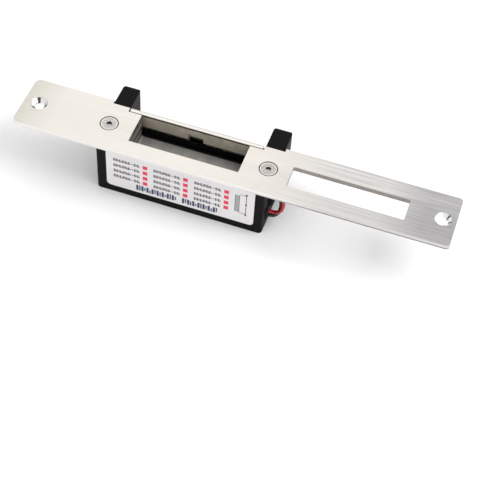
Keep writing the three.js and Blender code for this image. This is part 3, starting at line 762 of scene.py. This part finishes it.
flat_bars("label_coil", coil_symbol(), grey_ink)
flat_bars("label_wiring", wiring_symbol(), ink)


# ---- Ridges in the ends of the pocket, in millimetres ----
POCKET = {"end": 32.2, "near": -8.4, "far": 12.3, "floor": 23.0}
RIDGES = (  # middle, height, and how far each stands out
    (34.3, 1.5, 0.42),
    (32.0, 1.0, 0.25),
    (29.6, 1.5, 0.42),
    (27.0, 1.0, 0.25),
)


def prism(shape, section, along):
    """Adds a closed prism: section is a loop of points, and along is the vector between its ends."""
    low = [shape.verts.new(point) for point in section]
    high = [shape.verts.new(point + along) for point in section]
    count = len(section)
    for k in range(count):
        shape.faces.new((low[k], low[(k + 1) % count], high[(k + 1) % count], high[k]))
    shape.faces.new(list(reversed(low)))
    shape.faces.new(high)


def pocket_ridges():
    """Pressed beads along each end of the liner, and the rolled fillet where its floor turns up."""
    shape = bmesh.new()
    clear, sunk, radius, steps = 0.15, 0.1, 1.6, 10
    end, floor = POCKET["end"], POCKET["floor"]
    start, root = POCKET["near"] + clear, end + sunk
    along = mm(0, POCKET["far"] - POCKET["near"] - 2 * clear, 0)
    arc = [math.pi * i / steps for i in range(steps + 1)]
    middle = (end - radius, floor + radius)
    fillet = [(middle[0] + radius * math.sin(t / 2), middle[1] - radius * math.cos(t / 2)) for t in arc]
    fillet += [(root, middle[1]), (root, floor - sunk), (middle[0], floor - sunk)]
    for side in (-1, 1):
        for centre, height, proud in RIDGES:
            bead = [(end - proud * math.sin(t), centre - height / 2 * math.cos(t)) for t in arc]
            bead += [(root, centre + height / 2), (root, centre - height / 2)]
            prism(shape, [mm(side * x, start, z) for x, z in bead], along)
        prism(shape, [mm(side * x, start, z) for x, z in fillet], along)
    bmesh.ops.recalc_face_normals(shape, faces=shape.faces)
    mesh = bpy.data.meshes.new("pocket_liner_beads")
    shape.to_mesh(mesh)
    shape.free()
    mesh.set_sharp_from_angle(angle=math.radians(40))
    return add_piece(mesh.name, "housing", "plated_steel", mesh, FINISHES["pocket_steel"])


pocket_ridges()


# ---- The CAD nodes that show: finishes and softened edges ----
EDGES = {  # widths of the softened edges, in millimetres
    "faceplate": 0.18, "body_casting": 0.45, "base_cover": 0.2, "keeper": 0.2, "rating_label": 0.06,
    "pocket_liner": 0.12, "body_screw_left": 0.14, "body_screw_right": 0.14, "lead_grommet": 0.2,
    "locking_lever": 0.15, "solenoid_frame": 0.2, "keeper_hinge_rod": 0.25, "lead_tie": 0.1,
}
SMALL_EDGE = 0.08
NODE_FINISHES = {"pocket_liner": "pocket_steel"}  # other than the finish of the node's own slot
material_slots = {row["node"]: row["material_slot"] for row in frame["record"]["subparts"]}
for node, piece in frame["nodes"].items():
    if piece.hide_render:
        continue
    piece.data.materials.clear()
    piece.data.materials.append(FINISHES[NODE_FINISHES.get(node, material_slots[node])])
    for face in piece.data.polygons:
        face.use_smooth = True
    weld = piece.modifiers.new("weld", "WELD")
    weld.merge_threshold = 1e-6
    bevel = piece.modifiers.new("edge", "BEVEL")
    bevel.width = EDGES.get(node, SMALL_EDGE) * MM
    bevel.segments = 2
    bevel.limit_method = "ANGLE"
    bevel.angle_limit = math.radians(35)
    bevel.harden_normals = True
    bevel.use_clamp_overlap = True
    shading = piece.modifiers.new("shading", "WEIGHTED_NORMAL")
    shading.weight = 100
    shading.keep_sharp = True

for node in ("body_screw_left", "body_screw_right"):
    low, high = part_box(node)
    middle = (low + high) / 2 / MM
    materials = frame["nodes"][node].data.materials
    materials.clear()
    materials.append(turned_steel(f"turned_{node}", middle.x, middle.y))


# ---- Floor and light ----
def studio():
    """A plain pale floor, an even white sky, a soft light from the right and a faint one from behind."""
    floor_mesh = bpy.data.meshes.new("floor")
    shape = bmesh.new()
    half = 6.0
    bmesh.ops.create_grid(shape, x_segments=4, y_segments=4, size=half)
    shape.to_mesh(floor_mesh)
    shape.free()
    floor = bpy.data.objects.new("floor", floor_mesh)
    bpy.context.scene.collection.objects.link(floor)
    paper = Shader("floor_paper")
    grain = paper.noise(paper.place, 300.0, 3.0)
    tone = paper.mix(grain, (0.92, 0.92, 0.925), (0.94, 0.94, 0.945))
    floor_mesh.materials.append(paper.finish(tone, 0.85))

    world = bpy.data.worlds.new("studio")
    bpy.context.scene.world = world
    world.use_nodes = True
    sky = world.node_tree.nodes["Background"].inputs
    sky["Color"].default_value = (1.0, 1.0, 1.0, 1.0)
    sky["Strength"].default_value = 0.88

    aim = Vector((0.02, 0, 0.02))
    for name, place, size, power in (
        ("key", (0.75, 0.05, 1.0), 0.7, 7.5),
        ("back", (-0.40, 0.75, 0.9), 0.7, 0.9),
    ):
        light = bpy.data.lights.new(name, "AREA")
        light.size = size
        light.energy = power
        lamp = bpy.data.objects.new(name, light)
        bpy.context.scene.collection.objects.link(lamp)
        lamp.location = place
        lamp.rotation_mode = "QUATERNION"
        lamp.rotation_quaternion = (aim - lamp.location).to_track_quat("-Z", "Y")

    bpy.context.scene.view_settings.view_transform = "Standard"
    bpy.context.scene.view_settings.look = "None"


studio()
